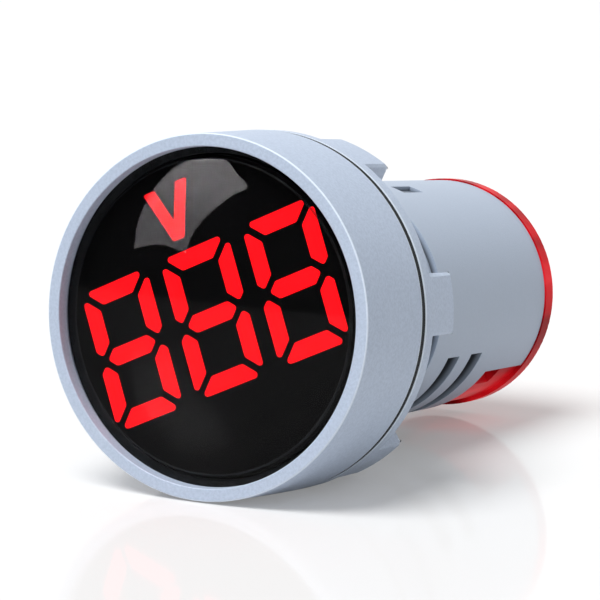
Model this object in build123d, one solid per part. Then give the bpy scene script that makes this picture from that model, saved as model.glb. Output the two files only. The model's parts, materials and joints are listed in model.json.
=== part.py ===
from build123d import *
import math
import os

# Digital panel meter for a round panel hole, in millimetres.
# The Y axis runs from the display (-Y) to the terminals (+Y), and +Z is the top of the display.
# The origin lies on the axis, where the front of the panel meets the gasket.
# Angles about the axis are counted from +X towards +Z.

# Panel hole that the meter is made for
panel_hole_radius = 11.15
thread_clear = 0.15

# Bezel and gasket
bezel_overlap = 3.85
bezel_depth = 9.0
bezel_wall = 1.05
bezel_front_round = 0.45
bezel_rear_round = 0.25
lip_width = 0.36
lip_depth = 1.2
lip_round = 0.15
gasket_inset = 0.06
gasket_thickness = 0.6
fit_gap = 0.05

# Window and its seal
lens_flange = 0.6
lens_step = 0.15
lens_step_inset = 1.25
lens_crown = 0.4
lens_land = 0.8
lens_pocket = 0.3
seal_thickness = 0.5

# Display block and light guides
face_gap = 0.05
face_side_gap = 0.15
housing_side_gap = 0.2
housing_length = 2.7
digit_count = 3
digit_height = 11.5
digit_gap = 1.4
digit_edge_gap = 0.157
digit_lean = 3.7
stroke = 1.4
segment_gap = 0.42
waist_inset = 0.5
segment_round = 0.25
cell_gap = 0.03
volt_edge_gap = 1.65
volt_span = 3.16
volt_stroke = 1.05
volt_offset = -1.05
volt_clear = 1.05
volt_round = 0.12
chip_width = 0.8
chip_depth = 0.6
chip_clear = 0.15

# Barrel
barrel_wall = 1.15
barrel_length = 35.1
thread_height = 0.45
thread_length = 9.4
neck_length = 3.0
neck_depth = 0.55
vent_start = 16.0
vent_width = 2.35
vent_pitch = 4.9
vent_count = 2
vent_span = 85.2
notch_width = 10.4
notch_length = 8.2
latch_angle = 47.7
latch_width = 1.4
latch_start = 17.7
latch_length = 3.9
bottom_angle = -90.0

# Ring nut
nut_flange = 1.44
nut_length = 5.6
nut_gap = 0.05
hub_wall = 1.4
hub_length = 4.6
lug_count = 6
lug_angle = -18.1
lug_width = 4.95
lug_chamfer = 0.22
lug_inset = 0.03
tip_chamfer = 0.25
nut_edge_round = 0.2

# Boards and what they carry
board_thickness = 1.2
board_edge_gap = 0.3
board_drop = 3.0
board_front_gap = 0.2
rail_grip = 0.8
rail_height = 0.8
rail_gap = 0.1
part_gap = 0.3
driver_size = 5.6
driver_height = 1.3
driver_leg_count = 6
driver_leg_width = 0.4
driver_leg_reach = 0.6
driver_leg_height = 0.5
link_length = 12.7
link_size = 2.5
link_pin_count = 5
link_pin_pitch = 2.54
link_pin_radius = 0.32
link_hole_radius = 0.45
dropper_thickness = 4.5
dropper_inset = 1.0
dropper_roof_gap = 1.0
dropper_round = 0.5
smoother_radius = 3.15
smoother_height = 7.5
smoother_groove = 0.3
rectifier_width = 4.7
rectifier_length = 4.2
rectifier_height = 2.0
rectifier_leg_width = 0.7
rectifier_leg_reach = 0.9
rectifier_leg_height = 0.5
resistor_radius = 1.25
resistor_length = 7.0
resistor_stand = 0.5
resistor_lead_radius = 0.3
resistor_lead_gap = 0.35
regulator_width = 4.5
regulator_length = 2.6
regulator_height = 1.5
regulator_tab = 0.8

# Terminals
terminal_recess = 8.7
terminal_block_thickness = 3.5
terminal_height = 0.9
plate_top = 4.0
plate_thickness = 0.8
tail_inset = 1.1
tail_landing = 2.0
slot_gap = 0.1
washer_thickness = 0.8
washer_gap = 0.15
screw_radius = 1.45
screw_length = 6.0
screw_running_gap = 0.05
head_inset = 0.1
head_height = 2.0
head_round = 0.6
drive_width = 0.8
drive_edge = 0.9
drive_depth = 1.1
boss_wall = 1.0
boss_floor = 0.5
boss_clear = 0.2
barrier_thickness = 3.7
barrier_top_gap = 1.7
barrier_bottom = 4.0
barrier_length = 6.0
guide_wall = 1.2
guide_inset = 0.75
guide_length = 3.6

# Terminal cover
cover_lip = 0.15
cover_rim = 1.85
cover_plate = 1.2
cover_gap = 0.1
cover_round = 0.3
skirt_wall = 1.1
skirt_length = 4.05
tongue_inset = 0.25
tongue_gap = 0.15
leg_width = 6.4
leg_wall = 1.5
rib_thickness = 1.2
rib_height = 1.4
driver_hole_radius = 2.1

# Stations along the axis
bezel_rear = -gasket_thickness
bezel_front = bezel_rear - bezel_depth
lens_front = bezel_front + lip_depth
lens_rear = lens_front + lens_flange
window_rear = lens_rear - lens_pocket
display_face = window_rear + face_gap
housing_shoulder = lens_rear + seal_thickness
housing_rear = housing_shoulder + housing_length
display_board_rear = housing_rear + board_thickness
block_rear = barrel_length - terminal_recess
block_front = block_rear - terminal_block_thickness
plate_rear = block_rear + plate_thickness
washer_rear = plate_rear + washer_thickness
head_rear = washer_rear + head_height
screw_tip = washer_rear - screw_length
skirt_front = barrel_length - skirt_length
cover_rear = barrel_length + cover_rim

# Radii that follow from the panel hole, the walls and the clearances
thread_radius = panel_hole_radius - thread_clear
barrel_radius = thread_radius - thread_height
bezel_radius = thread_radius + bezel_overlap
gasket_radius = bezel_radius - gasket_inset
nut_radius = bezel_radius
cover_radius = barrel_radius + cover_lip
bezel_bore = bezel_radius - bezel_wall
lip_radius = bezel_bore - lip_width
lens_radius = bezel_bore - fit_gap
lens_step_radius = lens_radius - lens_step_inset
pocket_radius = lens_radius - lens_land
face_radius = pocket_radius - face_side_gap
housing_radius = bezel_bore - housing_side_gap
flange_radius = bezel_bore - fit_gap
barrel_bore = barrel_radius - barrel_wall
gasket_bore = thread_radius + 2 * nut_gap
nut_bore = thread_radius + nut_gap
hub_radius = nut_bore + hub_wall
block_radius = barrel_bore - cover_gap
skirt_radius = barrel_bore - cover_gap
skirt_bore = skirt_radius - skirt_wall
screw_hole = screw_radius + screw_running_gap

# Digits and unit sign, as large as the window lets them be
lean_slope = math.tan(math.radians(digit_lean))
corner_height = digit_height / 2 - segment_gap
corner_reach = math.sqrt(pocket_radius ** 2 - corner_height ** 2) - digit_edge_gap
row_half = corner_reach - corner_height * lean_slope
digit_pitch = (2 * row_half + digit_gap) / digit_count
digit_width = digit_pitch - digit_gap
volt_base = digit_height / 2 + volt_clear
volt_top = face_radius - volt_edge_gap
volt_height = volt_top - volt_base

# Power board and terminal places
board_top = -board_drop
board_bottom = board_top - board_thickness
board_half = math.sqrt(barrel_bore ** 2 - board_bottom ** 2) - board_edge_gap
board_front = display_board_rear + board_front_gap
board_rear = block_front - boss_floor - boss_wall
tail_front = board_rear - tail_landing
rail_inner = board_half - rail_grip
washer_outer = block_radius - guide_inset - guide_wall
washer_inner = barrier_thickness / 2
plate_width = washer_outer - washer_inner - 2 * washer_gap
tail_width = plate_width - 2 * tail_inset
terminal_x = (washer_outer + washer_inner) / 2
head_radius = plate_width / 2 - head_inset
drive_length = 2 * (head_radius - drive_edge)
barrier_top = block_radius - barrier_top_gap

# Rows of components along the power board, from front to rear
row_start = board_front + link_size + part_gap
can_row = row_start + smoother_radius
dropper_row = can_row + smoother_radius + part_gap + dropper_thickness / 2
regulator_rear = can_row + regulator_length
rectifier_reach = rectifier_length / 2 + rectifier_leg_reach
rectifier_row = regulator_rear + regulator_tab + part_gap + rectifier_reach


def turned(points, rounds=()):
    """Solid of revolution about the Y axis from (radius, y) points, with the given corners rounded."""
    profile = make_face(Polyline(*points, close=True))
    for corner, radius in rounds:
        profile = fillet(profile.vertices().sort_by_distance(corner)[0], radius)
    return revolve(profile, Axis.Y)


def ring(inner, outer, near, far):
    """Plain ring about the Y axis."""
    return turned([(inner, near), (outer, near), (outer, far), (inner, far)])


def sector(inner, outer, near, far, first, span):
    """Part of a plain ring, from a first angle over a span."""
    profile = make_face(Polyline((inner, near), (outer, near), (outer, far), (inner, far), close=True))
    return at_angle(first + span) * revolve(profile, Axis.Y, span)


def brick(x, y, z):
    """Box between two values on each axis."""
    spans = (x, y, z)
    middle = [(low + high) / 2 for low, high in spans]
    return Pos(*middle) * Box(*[high - low for low, high in spans])


def rod(radius, near, far, x=0.0, z=0.0):
    """Round rod along Y between two stations."""
    return Pos(x, (near + far) / 2, z) * Rot(90, 0, 0) * Cylinder(radius, far - near)


def prism(face, near, far):
    """Solid along Y between two stations from a face drawn in x and z."""
    return extrude(Plane.XZ.offset(-far) * face, far - near)


def at_angle(angle):
    """Turn about the axis that takes +X to the given angle."""
    return Rot(0, -angle, 0)


def mirrored(outline, x_sign, z_sign):
    """Outline reflected in x, in z or in both."""
    return [(x_sign * x, z_sign * z) for x, z in outline]


def digit_faces(centre):
    """The seven mitred strokes of one digit, leaning to the right."""
    half_width = digit_width / 2
    half_height = digit_height / 2
    bar_outer = half_width - segment_gap
    bar_inner = bar_outer - stroke
    tip = half_width - waist_inset
    middle_tip = tip - segment_gap
    middle_flat = middle_tip - stroke / 2
    bar = [
        (-bar_outer, half_height),
        (bar_outer, half_height),
        (bar_inner, half_height - stroke),
        (-bar_inner, half_height - stroke),
    ]
    side = [
        (half_width, half_height - segment_gap),
        (half_width - stroke, half_height - stroke - segment_gap),
        (half_width - stroke, segment_gap + stroke - waist_inset),
        (tip, segment_gap),
        (half_width, segment_gap + waist_inset),
    ]
    middle = [
        (middle_tip, 0),
        (middle_flat, stroke / 2),
        (-middle_flat, stroke / 2),
        (-middle_tip, 0),
        (-middle_flat, -stroke / 2),
        (middle_flat, -stroke / 2),
    ]
    strokes = [bar, mirrored(bar, 1, -1), middle]
    strokes += [mirrored(side, x_sign, z_sign) for x_sign in (1, -1) for z_sign in (1, -1)]
    return [rounded_face(leaning(outline, centre), segment_round) for outline in strokes]


def volt_outline():
    """The unit sign as a list of (x, z) points, leaning like the digits."""
    half_span = volt_span / 2
    half_stroke = volt_stroke / 2
    outline = [
        (-half_span - half_stroke, volt_top),
        (-half_span + half_stroke, volt_top),
        (0, volt_base + volt_foot()),
        (half_span - half_stroke, volt_top),
        (half_span + half_stroke, volt_top),
        (half_stroke, volt_base),
        (-half_stroke, volt_base),
    ]
    return leaning(outline, volt_offset)


def volt_foot():
    """Height of the unit sign's foot, up to where its two strokes part."""
    return volt_height * volt_stroke / volt_span


def volt_middle():
    """Middle of the unit sign's foot."""
    return leaning([(0, volt_base + volt_foot() / 2)], volt_offset)[0]


def leaning(outline, centre):
    """Outline sheared to the right with height and moved to its centre."""
    return [(centre + x + z * lean_slope, z) for x, z in outline]


def rounded_face(outline, radius):
    """Flat face from an outline with its outward corners rounded."""
    face = make_face(Polyline(*outline, close=True))
    middle = face.center()
    count = len(outline)
    for i, (x, z) in enumerate(outline):
        before, after = Vector(*outline[i - 1]), Vector(*outline[(i + 1) % count])
        chord_middle = (before + after) / 2
        outward = (Vector(x, z) - middle).length > (chord_middle - middle).length
        if outward:
            face = fillet(face.vertices().sort_by_distance((x, z))[0], radius)
    return face


def light_guides(faces):
    """One light guide for each face, flush with the display face and ending above its chip."""
    rear = housing_rear - chip_depth - chip_clear
    return Compound([prism(face, display_face, rear) for face in faces])


def make_bezel():
    """Cup-shaped ring with a flat face, a lip over the window and a straight bore."""
    points = [
        (lip_radius, bezel_front),
        (bezel_radius, bezel_front),
        (bezel_radius, bezel_rear),
        (bezel_bore, bezel_rear),
        (bezel_bore, lens_front),
        (lip_radius, lens_front),
    ]
    rounds = [(points[0], lip_round), (points[1], bezel_front_round), (points[2], bezel_rear_round)]
    return turned(points, rounds)


def make_lens():
    """Window with a flat rim, a raised and slightly domed middle and a pocket behind."""
    step_front = lens_front - lens_step
    crown_front = step_front - lens_crown
    dome_radius = (lens_step_radius ** 2 + lens_crown ** 2) / (2 * lens_crown)
    half_radius = lens_step_radius / 2
    half_drop = dome_radius - math.sqrt(dome_radius ** 2 - half_radius ** 2)
    crown = (0, crown_front)
    dome_edge = (lens_step_radius, step_front)
    edge = [
        Line((0, window_rear), crown),
        ThreePointArc(crown, (half_radius, crown_front + half_drop), dome_edge),
        Polyline(
            dome_edge,
            (lens_step_radius, lens_front),
            (lens_radius, lens_front),
            (lens_radius, lens_rear),
            (pocket_radius, lens_rear),
            (pocket_radius, window_rear),
            (0, window_rear),
        ),
    ]
    return revolve(make_face(edge), Axis.Y)


def make_display_housing(faces):
    """Round block with a raised face and one open cell for each light guide."""
    body = turned([
        (0, display_face),
        (face_radius, display_face),
        (face_radius, housing_shoulder),
        (housing_radius, housing_shoulder),
        (housing_radius, housing_rear),
        (0, housing_rear),
    ])
    for face in faces:
        body -= prism(offset(face, cell_gap), display_face, housing_rear)
    return body


def make_led_chips(digit_faces):
    """One chip on the display board in each cell of the display block."""
    centres = [face.center() for face in digit_faces]
    places = [(centre.X, centre.Y) for centre in centres] + [volt_middle()]
    chip = Box(chip_width, chip_depth, chip_width)
    return Compound([Pos(x, housing_rear - chip_depth / 2, z) * chip for x, z in places])


def link_pin_places():
    """Positions of the header's pins across the meter."""
    first = -link_pin_pitch * (link_pin_count - 1) / 2
    return [first + link_pin_pitch * i for i in range(link_pin_count)]


def make_display_board():
    """Round circuit board with holes for the header's pins."""
    board = rod(housing_radius, housing_rear, display_board_rear)
    for x in link_pin_places():
        board -= rod(link_hole_radius, housing_rear, display_board_rear, x, board_top + link_size / 2)
    return board


def make_driver_chip():
    """Flat square package with legs on its four sides."""
    half = driver_size / 2
    near = display_board_rear
    chip = brick((-half, half), (near, near + driver_height), (-half, half))
    pitch = driver_size / driver_leg_count
    for i in range(driver_leg_count):
        place = pitch * (i + 0.5) - half
        leg = (place - driver_leg_width / 2, place + driver_leg_width / 2)
        across = (-half - driver_leg_reach, half + driver_leg_reach)
        depth = (near, near + driver_leg_height)
        chip += brick(leg, depth, across) + brick(across, depth, leg)
    centre = board_top + link_size + part_gap + half + driver_leg_reach
    return Pos(0, 0, centre) * chip


def make_board_link():
    """Pin header on the power board, with its pins in the display board."""
    half = link_length / 2
    middle = board_top + link_size / 2
    header = brick((-half, half), (board_front, board_front + link_size), (board_top, board_top + link_size))
    for x in link_pin_places():
        header += rod(link_pin_radius, housing_rear + board_front_gap, board_front, x, middle)
    return header


def make_power_board():
    """Board along the barrel, held by its edges."""
    return brick((-board_half, board_half), (board_front, board_rear), (board_bottom, board_top))


def box_at(x, y, width, length, upright):
    """Box about a place on the power board, between two heights."""
    across = (x - width / 2, x + width / 2)
    along = (y - length / 2, y + length / 2)
    return brick(across, along, upright)


def make_dropper_capacitor():
    """Box-shaped film capacitor across the power board."""
    half_width = rail_inner - dropper_inset
    roof = math.sqrt((barrel_bore - dropper_roof_gap) ** 2 - half_width ** 2)
    box = box_at(0, dropper_row, 2 * half_width, dropper_thickness, (board_top, roof))
    return fillet(box.edges().filter_by(Axis.Z) + box.faces().sort_by(Axis.Z)[-1].edges(), dropper_round)


def make_smoothing_capacitor():
    """Upright can with a crimp above its foot."""
    can = Cylinder(smoother_radius, smoother_height, align=(Align.CENTER, Align.CENTER, Align.MIN))
    can = fillet(can.edges().sort_by(Axis.Z)[-1], smoother_groove)
    crimp = Torus(smoother_radius + smoother_groove, 2 * smoother_groove)
    place = Pos(smoother_radius + part_gap - rail_inner, can_row, board_top)
    return place * (can - Pos(0, 0, 4 * smoother_groove) * crimp)


def make_bridge_rectifier():
    """Moulded package under the power board, with two flat legs at each end."""
    upright = (board_bottom - rectifier_height, board_bottom)
    package = box_at(0, rectifier_row, rectifier_width, rectifier_length, upright)
    leg_upright = (board_bottom - rectifier_leg_height, board_bottom)
    for side in (-1, 1):
        leg_x = side * rectifier_width / 4
        package += box_at(leg_x, rectifier_row, rectifier_leg_width, 2 * rectifier_reach, leg_upright)
    return package


def make_fuse_resistor():
    """Axial resistor standing beside the can, with its upper lead bent back down to the board."""
    foot = (Align.CENTER, Align.CENTER, Align.MIN)
    base = Pos(rail_inner - part_gap - resistor_radius, can_row, board_top)
    body = fillet(Cylinder(resistor_radius, resistor_length, align=foot).edges(), resistor_radius / 3)
    lead_top = resistor_length + 2 * resistor_stand
    reach = resistor_radius + resistor_lead_gap + resistor_lead_radius
    lead = Cylinder(resistor_lead_radius, lead_top, align=foot)
    bridge_length = reach + 2 * resistor_lead_radius
    bridge = Pos(0, reach / 2, lead_top) * Rot(90, 0, 0) * Cylinder(resistor_lead_radius, bridge_length)
    return base * (Pos(0, 0, resistor_stand) * body + lead + Pos(0, reach, 0) * lead + bridge)


def make_regulator():
    """Small flat package with a tab, under the power board."""
    half = regulator_width / 2
    package = brick((-half, half), (can_row, regulator_rear), (board_bottom - regulator_height, board_bottom))
    tab_height = (board_bottom - regulator_height / 3, board_bottom)
    tab_span = (regulator_rear, regulator_rear + regulator_tab)
    return package + brick((-half / 2, half / 2), tab_span, tab_height)


def make_barrel():
    """Tube with a front flange, thread, neck, latch window, vents, wire notch and board rails."""
    neck_radius = barrel_radius - neck_depth
    neck_rear = thread_length + neck_length
    body = turned([
        (barrel_bore, display_board_rear),
        (flange_radius, display_board_rear),
        (flange_radius, bezel_rear),
        (thread_radius, bezel_rear),
        (thread_radius, thread_length),
        (neck_radius, thread_length),
        (neck_radius, neck_rear),
        (barrel_radius, neck_rear),
        (barrel_radius, barrel_length),
        (barrel_bore, barrel_length),
    ])
    # Board rails above and below each edge of the power board
    upper = (board_top + rail_gap, board_top + rail_gap + rail_height)
    lower = (board_bottom - rail_gap - rail_height, board_bottom - rail_gap)
    mid_wall = (barrel_bore + neck_radius) / 2
    core = rod(mid_wall, display_board_rear, board_rear)
    for side in (-1, 1):
        along = sorted((side * rail_inner, side * mid_wall))
        for height in (upper, lower):
            body += brick(along, (bezel_rear, board_rear), height) & core
    # Vent slots, centred on the bottom of the barrel
    for i in range(vent_count):
        near = vent_start + i * vent_pitch
        first = bottom_angle - vent_span / 2
        body -= sector(rail_inner, 2 * barrel_radius, near, near + vent_width, first, vent_span)
    # Wire notch, open to the rear
    half_notch = notch_width / 2
    notch_span = (barrel_length - notch_length, barrel_length)
    body -= brick((-half_notch, half_notch), notch_span, (-2 * barrel_radius, 0))
    # Latch window in the upper right of the wall
    half_latch = latch_width / 2
    latch_span = (latch_start, latch_start + latch_length)
    latch = brick((rail_inner, 2 * barrel_radius), latch_span, (-half_latch, half_latch))
    return body - at_angle(latch_angle) * latch


def make_ring_nut():
    """Flange with a hub and chamfered lugs round its rear."""
    points = [
        (nut_bore, 0),
        (nut_radius, 0),
        (nut_radius, nut_flange),
        (hub_radius, nut_flange),
        (hub_radius, hub_length),
        (nut_bore, hub_length),
    ]
    nut = turned(points, [(points[1], nut_edge_round)])
    root = hub_radius - hub_wall / 2
    half_width = lug_width / 2
    land = nut_radius - lug_inset
    shoulder = math.sqrt(land ** 2 - (half_width - lug_chamfer) ** 2) - lug_chamfer
    outline = [
        (root, -half_width),
        (shoulder, -half_width),
        (shoulder + half_width, 0),
        (shoulder, half_width),
        (root, half_width),
    ]
    envelope = turned([
        (root, 0),
        (land, 0),
        (land, nut_length - tip_chamfer),
        (land - tip_chamfer, nut_length),
        (root, nut_length),
    ])
    lug = prism(make_face(Polyline(*outline, close=True)), nut_flange / 2, nut_length) & envelope
    for i in range(lug_count):
        nut += at_angle(lug_angle + i * 360 / lug_count) * lug
    return nut


def make_terminal_block():
    """Round block with screw bosses, a barrier between the terminals and guides for the washers."""
    block = rod(block_radius, block_front, block_rear)
    barrier_span = (block_rear, block_rear + barrier_length)
    block += brick((-washer_inner, washer_inner), barrier_span, (-barrier_bottom, barrier_top))
    envelope = rod(block_radius, block_front, block_rear + barrier_length)
    boss_front = screw_tip - boss_clear - boss_floor
    slot_half = tail_width / 2 + slot_gap
    slot_height = (board_top - slot_gap, board_top + plate_thickness + slot_gap)
    for side in (-1, 1):
        x = side * terminal_x
        guide = sorted((side * washer_outer, side * (washer_outer + guide_wall)))
        block += brick(guide, (block_rear, block_rear + guide_length), (board_top, plate_top)) & envelope
        block += rod(screw_hole + boss_wall, boss_front, block_front, x, terminal_height)
        block -= rod(screw_hole, screw_tip - boss_clear, block_rear, x, terminal_height)
        block -= brick((x - slot_half, x + slot_half), (block_front, block_rear), slot_height)
    return block


def make_terminal_plate(side):
    """Brass plate with a screw hole and a tail that lies on the power board."""
    x = side * terminal_x
    half = plate_width / 2
    face = brick((x - half, x + half), (block_rear, plate_rear), (board_top, plate_top))
    tail = brick(
        (x - tail_width / 2, x + tail_width / 2),
        (tail_front, block_rear),
        (board_top, board_top + plate_thickness),
    )
    return face + tail - rod(screw_hole, block_rear, plate_rear, x, terminal_height)


def make_clamp_washer(side):
    """Square washer between the screw's head and the plate."""
    x = side * terminal_x
    half = plate_width / 2
    upright = (terminal_height - half, terminal_height + half)
    body = brick((x - half, x + half), (plate_rear, washer_rear), upright)
    return body - rod(screw_hole, plate_rear, washer_rear, x, terminal_height)


def make_terminal_screw(side):
    """Pan-head screw with a cross drive."""
    points = [
        (0, screw_tip),
        (screw_radius, screw_tip),
        (screw_radius, washer_rear),
        (head_radius, washer_rear),
        (head_radius, head_rear),
        (0, head_rear),
    ]
    screw = turned(points, [(points[4], head_round)])
    drive = (head_rear - drive_depth, head_rear)
    long_way = (-drive_length / 2, drive_length / 2)
    short_way = (-drive_width / 2, drive_width / 2)
    screw -= brick(long_way, drive, short_way) + brick(short_way, drive, long_way)
    return Pos(side * terminal_x, 0, terminal_height) * screw


def make_terminal_cover():
    """Cap with a rim, a skirt in the barrel, two holes for a driver and a tongue in the notch.

    The tongue's middle leg reaches the notch's front and parts the two wire entries.
    """
    plate_inner = cover_rear - cover_plate
    points = [
        (0, cover_rear),
        (cover_radius, cover_rear),
        (cover_radius, barrel_length),
        (skirt_radius, barrel_length),
        (skirt_radius, skirt_front),
        (skirt_bore, skirt_front),
        (skirt_bore, plate_inner),
        (0, plate_inner),
    ]
    cover = turned(points, [(points[1], cover_round)])
    tongue_radius = barrel_radius - tongue_inset
    half_tongue = notch_width / 2 - tongue_gap
    tongue = brick((-half_tongue, half_tongue), (skirt_front, barrel_length), (-barrel_radius, 0))
    cover += tongue & ring(skirt_bore, tongue_radius, skirt_front, barrel_length)
    half_leg = leg_width / 2
    leg_front = barrel_length - notch_length + tongue_gap
    leg = brick((-half_leg, half_leg), (leg_front, barrel_length), (-barrel_radius, 0))
    cover += leg & ring(tongue_radius - leg_wall, tongue_radius, leg_front, barrel_length)
    half_rib = rib_thickness / 2
    cover += brick((-half_rib, half_rib), (plate_inner - rib_height, plate_inner), (-skirt_bore, skirt_bore))
    for side in (-1, 1):
        cover -= rod(driver_hole_radius, plate_inner, cover_rear, side * terminal_x, terminal_height)
    return cover


def make_parts():
    """Every piece of the meter by name."""
    digits = {
        "digit_left": digit_faces(-digit_pitch),
        "digit_middle": digit_faces(0),
        "digit_right": digit_faces(digit_pitch),
    }
    volt = [rounded_face(volt_outline(), volt_round)]
    strokes = [face for faces in digits.values() for face in faces]
    parts = {
        "bezel": make_bezel(),
        "lens": make_lens(),
        "lens_seal": ring(pocket_radius, lens_radius, lens_rear, housing_shoulder),
        "display_housing": make_display_housing(strokes + volt),
        "volt_symbol": light_guides(volt),
        "led_chips": make_led_chips(strokes),
        "display_board": make_display_board(),
        "driver_chip": make_driver_chip(),
        "board_link": make_board_link(),
        "power_board": make_power_board(),
        "dropper_capacitor": make_dropper_capacitor(),
        "smoothing_capacitor": make_smoothing_capacitor(),
        "bridge_rectifier": make_bridge_rectifier(),
        "fuse_resistor": make_fuse_resistor(),
        "regulator": make_regulator(),
        "barrel": make_barrel(),
        "panel_gasket": ring(gasket_bore, gasket_radius, bezel_rear, 0),
        "ring_nut": make_ring_nut(),
        "terminal_block": make_terminal_block(),
        "terminal_cover": make_terminal_cover(),
    }
    for name, faces in digits.items():
        parts[name] = light_guides(faces)
    for name, side in (("left", -1), ("right", 1)):
        parts["terminal_plate_" + name] = make_terminal_plate(side)
        parts["clamp_washer_" + name] = make_clamp_washer(side)
        parts["terminal_screw_" + name] = make_terminal_screw(side)
    return parts


os.makedirs("parts", exist_ok=True)
for node, shape in make_parts().items():
    export_step(shape, f"parts/{node}.step")
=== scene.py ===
import json
import math

import bmesh
import bpy
import numpy as np
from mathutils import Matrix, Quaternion, Vector


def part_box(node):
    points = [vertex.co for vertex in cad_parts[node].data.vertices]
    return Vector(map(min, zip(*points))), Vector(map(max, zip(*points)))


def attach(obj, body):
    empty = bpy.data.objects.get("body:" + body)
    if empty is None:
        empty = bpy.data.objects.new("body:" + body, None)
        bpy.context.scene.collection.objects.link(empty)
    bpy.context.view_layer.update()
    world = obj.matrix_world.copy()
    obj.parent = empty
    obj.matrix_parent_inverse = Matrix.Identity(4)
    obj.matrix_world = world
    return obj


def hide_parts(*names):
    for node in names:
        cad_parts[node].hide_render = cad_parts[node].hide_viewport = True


# Digital panel meter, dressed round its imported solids. The pieces below are worked out in millimetres
# in the solids' own frame: Y runs along the axis from display to terminals and Z is the display's top.
# Angles about the axis count from +X towards +Z.
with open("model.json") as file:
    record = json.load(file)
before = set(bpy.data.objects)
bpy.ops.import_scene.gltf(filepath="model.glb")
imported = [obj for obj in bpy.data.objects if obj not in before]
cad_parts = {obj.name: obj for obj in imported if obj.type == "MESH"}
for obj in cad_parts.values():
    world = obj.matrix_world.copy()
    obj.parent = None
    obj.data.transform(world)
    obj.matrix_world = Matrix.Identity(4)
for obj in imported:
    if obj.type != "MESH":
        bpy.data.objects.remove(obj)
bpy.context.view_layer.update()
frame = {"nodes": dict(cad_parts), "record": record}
MM = 0.001

# Camera of the photograph: place and clipping in metres, lens and sensor in millimetres
CAMERA_PLACE = (0.093545, -0.172970, -0.023615)
CAMERA_TURN = (0.66198, 0.68765, 0.29402, 0.04975)
CAMERA_LENS = 145.2
SENSOR = 36.0
CLIP_NEAR = 0.01
CLIP_FAR = 50.0

# Floor that the meter lies on: its upward direction, its distance below the axis and its half width
# in metres, and its finish
FLOOR_UP = Vector((0.4065, -0.0700, 0.9110))
FLOOR_DROP = 0.01390
FLOOR_HALF = 4.0
FLOOR_GREY = 0.6
FLOOR_SHEEN = 0.95
FLOOR_GLOSS = 0.12
FLOOR_ROUGHNESS = 0.08
FLOOR_GLOW = 0.21

# Surround and lamps: directions that the light comes from, strengths and spreads in radians
SURROUND_LIGHT = 0.37
SEEN_RAYS = ("Is Camera Ray", "Is Glossy Ray", "Is Transmission Ray")
KEY_FROM = Vector((0.2177, -0.4816, 0.8617))
KEY_STRENGTH = 3.3
KEY_SPREAD = 0.6
FILL_FROM = Vector((0.9, -0.20, 0.25))
FILL_STRENGTH = 0.15
FILL_SPREAD = 1.0

# Studio that the window mirrors: its upward direction, then a black flag and a softbox placed by
# degrees sideways and above the mirrored line of sight, at distances in metres
MIRROR_UP = (0.4130, -0.1182, 0.9030)
FLAG_HALF_WIDTH = 24.0
FLAG_FOOT = 0.7
FLAG_TOP = 24.0
FLAG_DISTANCE = 1.6
FLAG_ROWS = 5
FLAG_COLUMNS = 9
SOFTBOX_SIDE = 2.1
SOFTBOX_LEAN = 0.07
SOFTBOX_CURVE = 0.15
SOFTBOX_FOOT = 4.7
SOFTBOX_RISE = 5.1
SOFTBOX_ARC_RADIUS = 6.6
SOFTBOX_ARC_CENTRE = (-0.2, 5.05)
SOFTBOX_ARC_SPAN = (-6.0, 85.0)
SOFTBOX_ARC_POINTS = 17
SOFTBOX_LINE_POINTS = 7
SOFTBOX_TOP_GAP = 0.05
SOFTBOX_BOW = 1.8
SOFTBOX_BOW_FADE = 4
SOFTBOX_ROWS = 9
SOFTBOX_DISTANCE = 1.2
SOFTBOX_STRENGTH = 12.7
SOFTBOX_TOP_STRENGTH = 11.0
SOFTBOX_FADE = (0.14, 0.21)

# Bezel
FACE_RADIUS = 14.48
LIP_RADIUS = 13.44
LIP_DEPTH = 1.2
BEZEL_BORE = 13.8
BEZEL_ROUNDS = np.array([0.03, 0.05, 0.10, 0.13, 0.12, 0.05])
BEZEL_ROUND_STEPS = 7
BEZEL_SIDES = 256

# Window: its form, then its smoke, denser in a ring at the step and clear at the rear
STEP_INSET = 1.25
STEP_HEIGHT = 0.15
CROWN_HEIGHT = 0.4
FLANGE_DEPTH = 0.6
POCKET_DEPTH = 0.3
POCKET_INSET = 0.8
WINDOW_ROUND = 0.07
WINDOW_SIDES = 192
CROWN_POINTS = 60
WINDOW_SMOKE = 0.13
STEP_SMOKE = 0.5
STEP_RING = (-0.14, 0.02)
STEP_RING_FADE = 0.08
REAR_CLEAR = 0.5
REAR_CLEAR_FADE = 0.1

# Barrel
THREAD_RADIUS = 11.0
BARREL_RADIUS = 10.55
BORE_RADIUS = 9.4
NECK_RADIUS = 10.0
FLANGE_REAR = -0.6
THREAD_REAR = 9.4
NECK_REAR = 12.4
THREAD_PITCH = 1.5
THREAD_RUNOUT = 0.8
THREAD_START = 0.05
THREAD_POINTS = 10
VENTS = ((16.0, 18.35), (20.9, 23.25))
VENT_HALF_SPAN = 42.6
LATCH_ANGLE = 47.7
LATCH_WIDTH = 1.4
LATCH_SPAN = (17.7, 21.6)
LATCH_DEPTH = 0.42
LATCH_LAP = 0.05
NOTCH_WIDTH = 10.4
NOTCH_LENGTH = 8.2
BOTTOM = -90.0
RAIL_INNER = 7.31
RAIL_REAR = 21.4
RAIL_HEIGHTS = ((-2.9, -2.1), (-5.1, -4.3))
BARREL_BEVEL = 0.1
BARREL_ANGLE_STEP = 2.0
BARREL_STATION_STEP = 2.5

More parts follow.
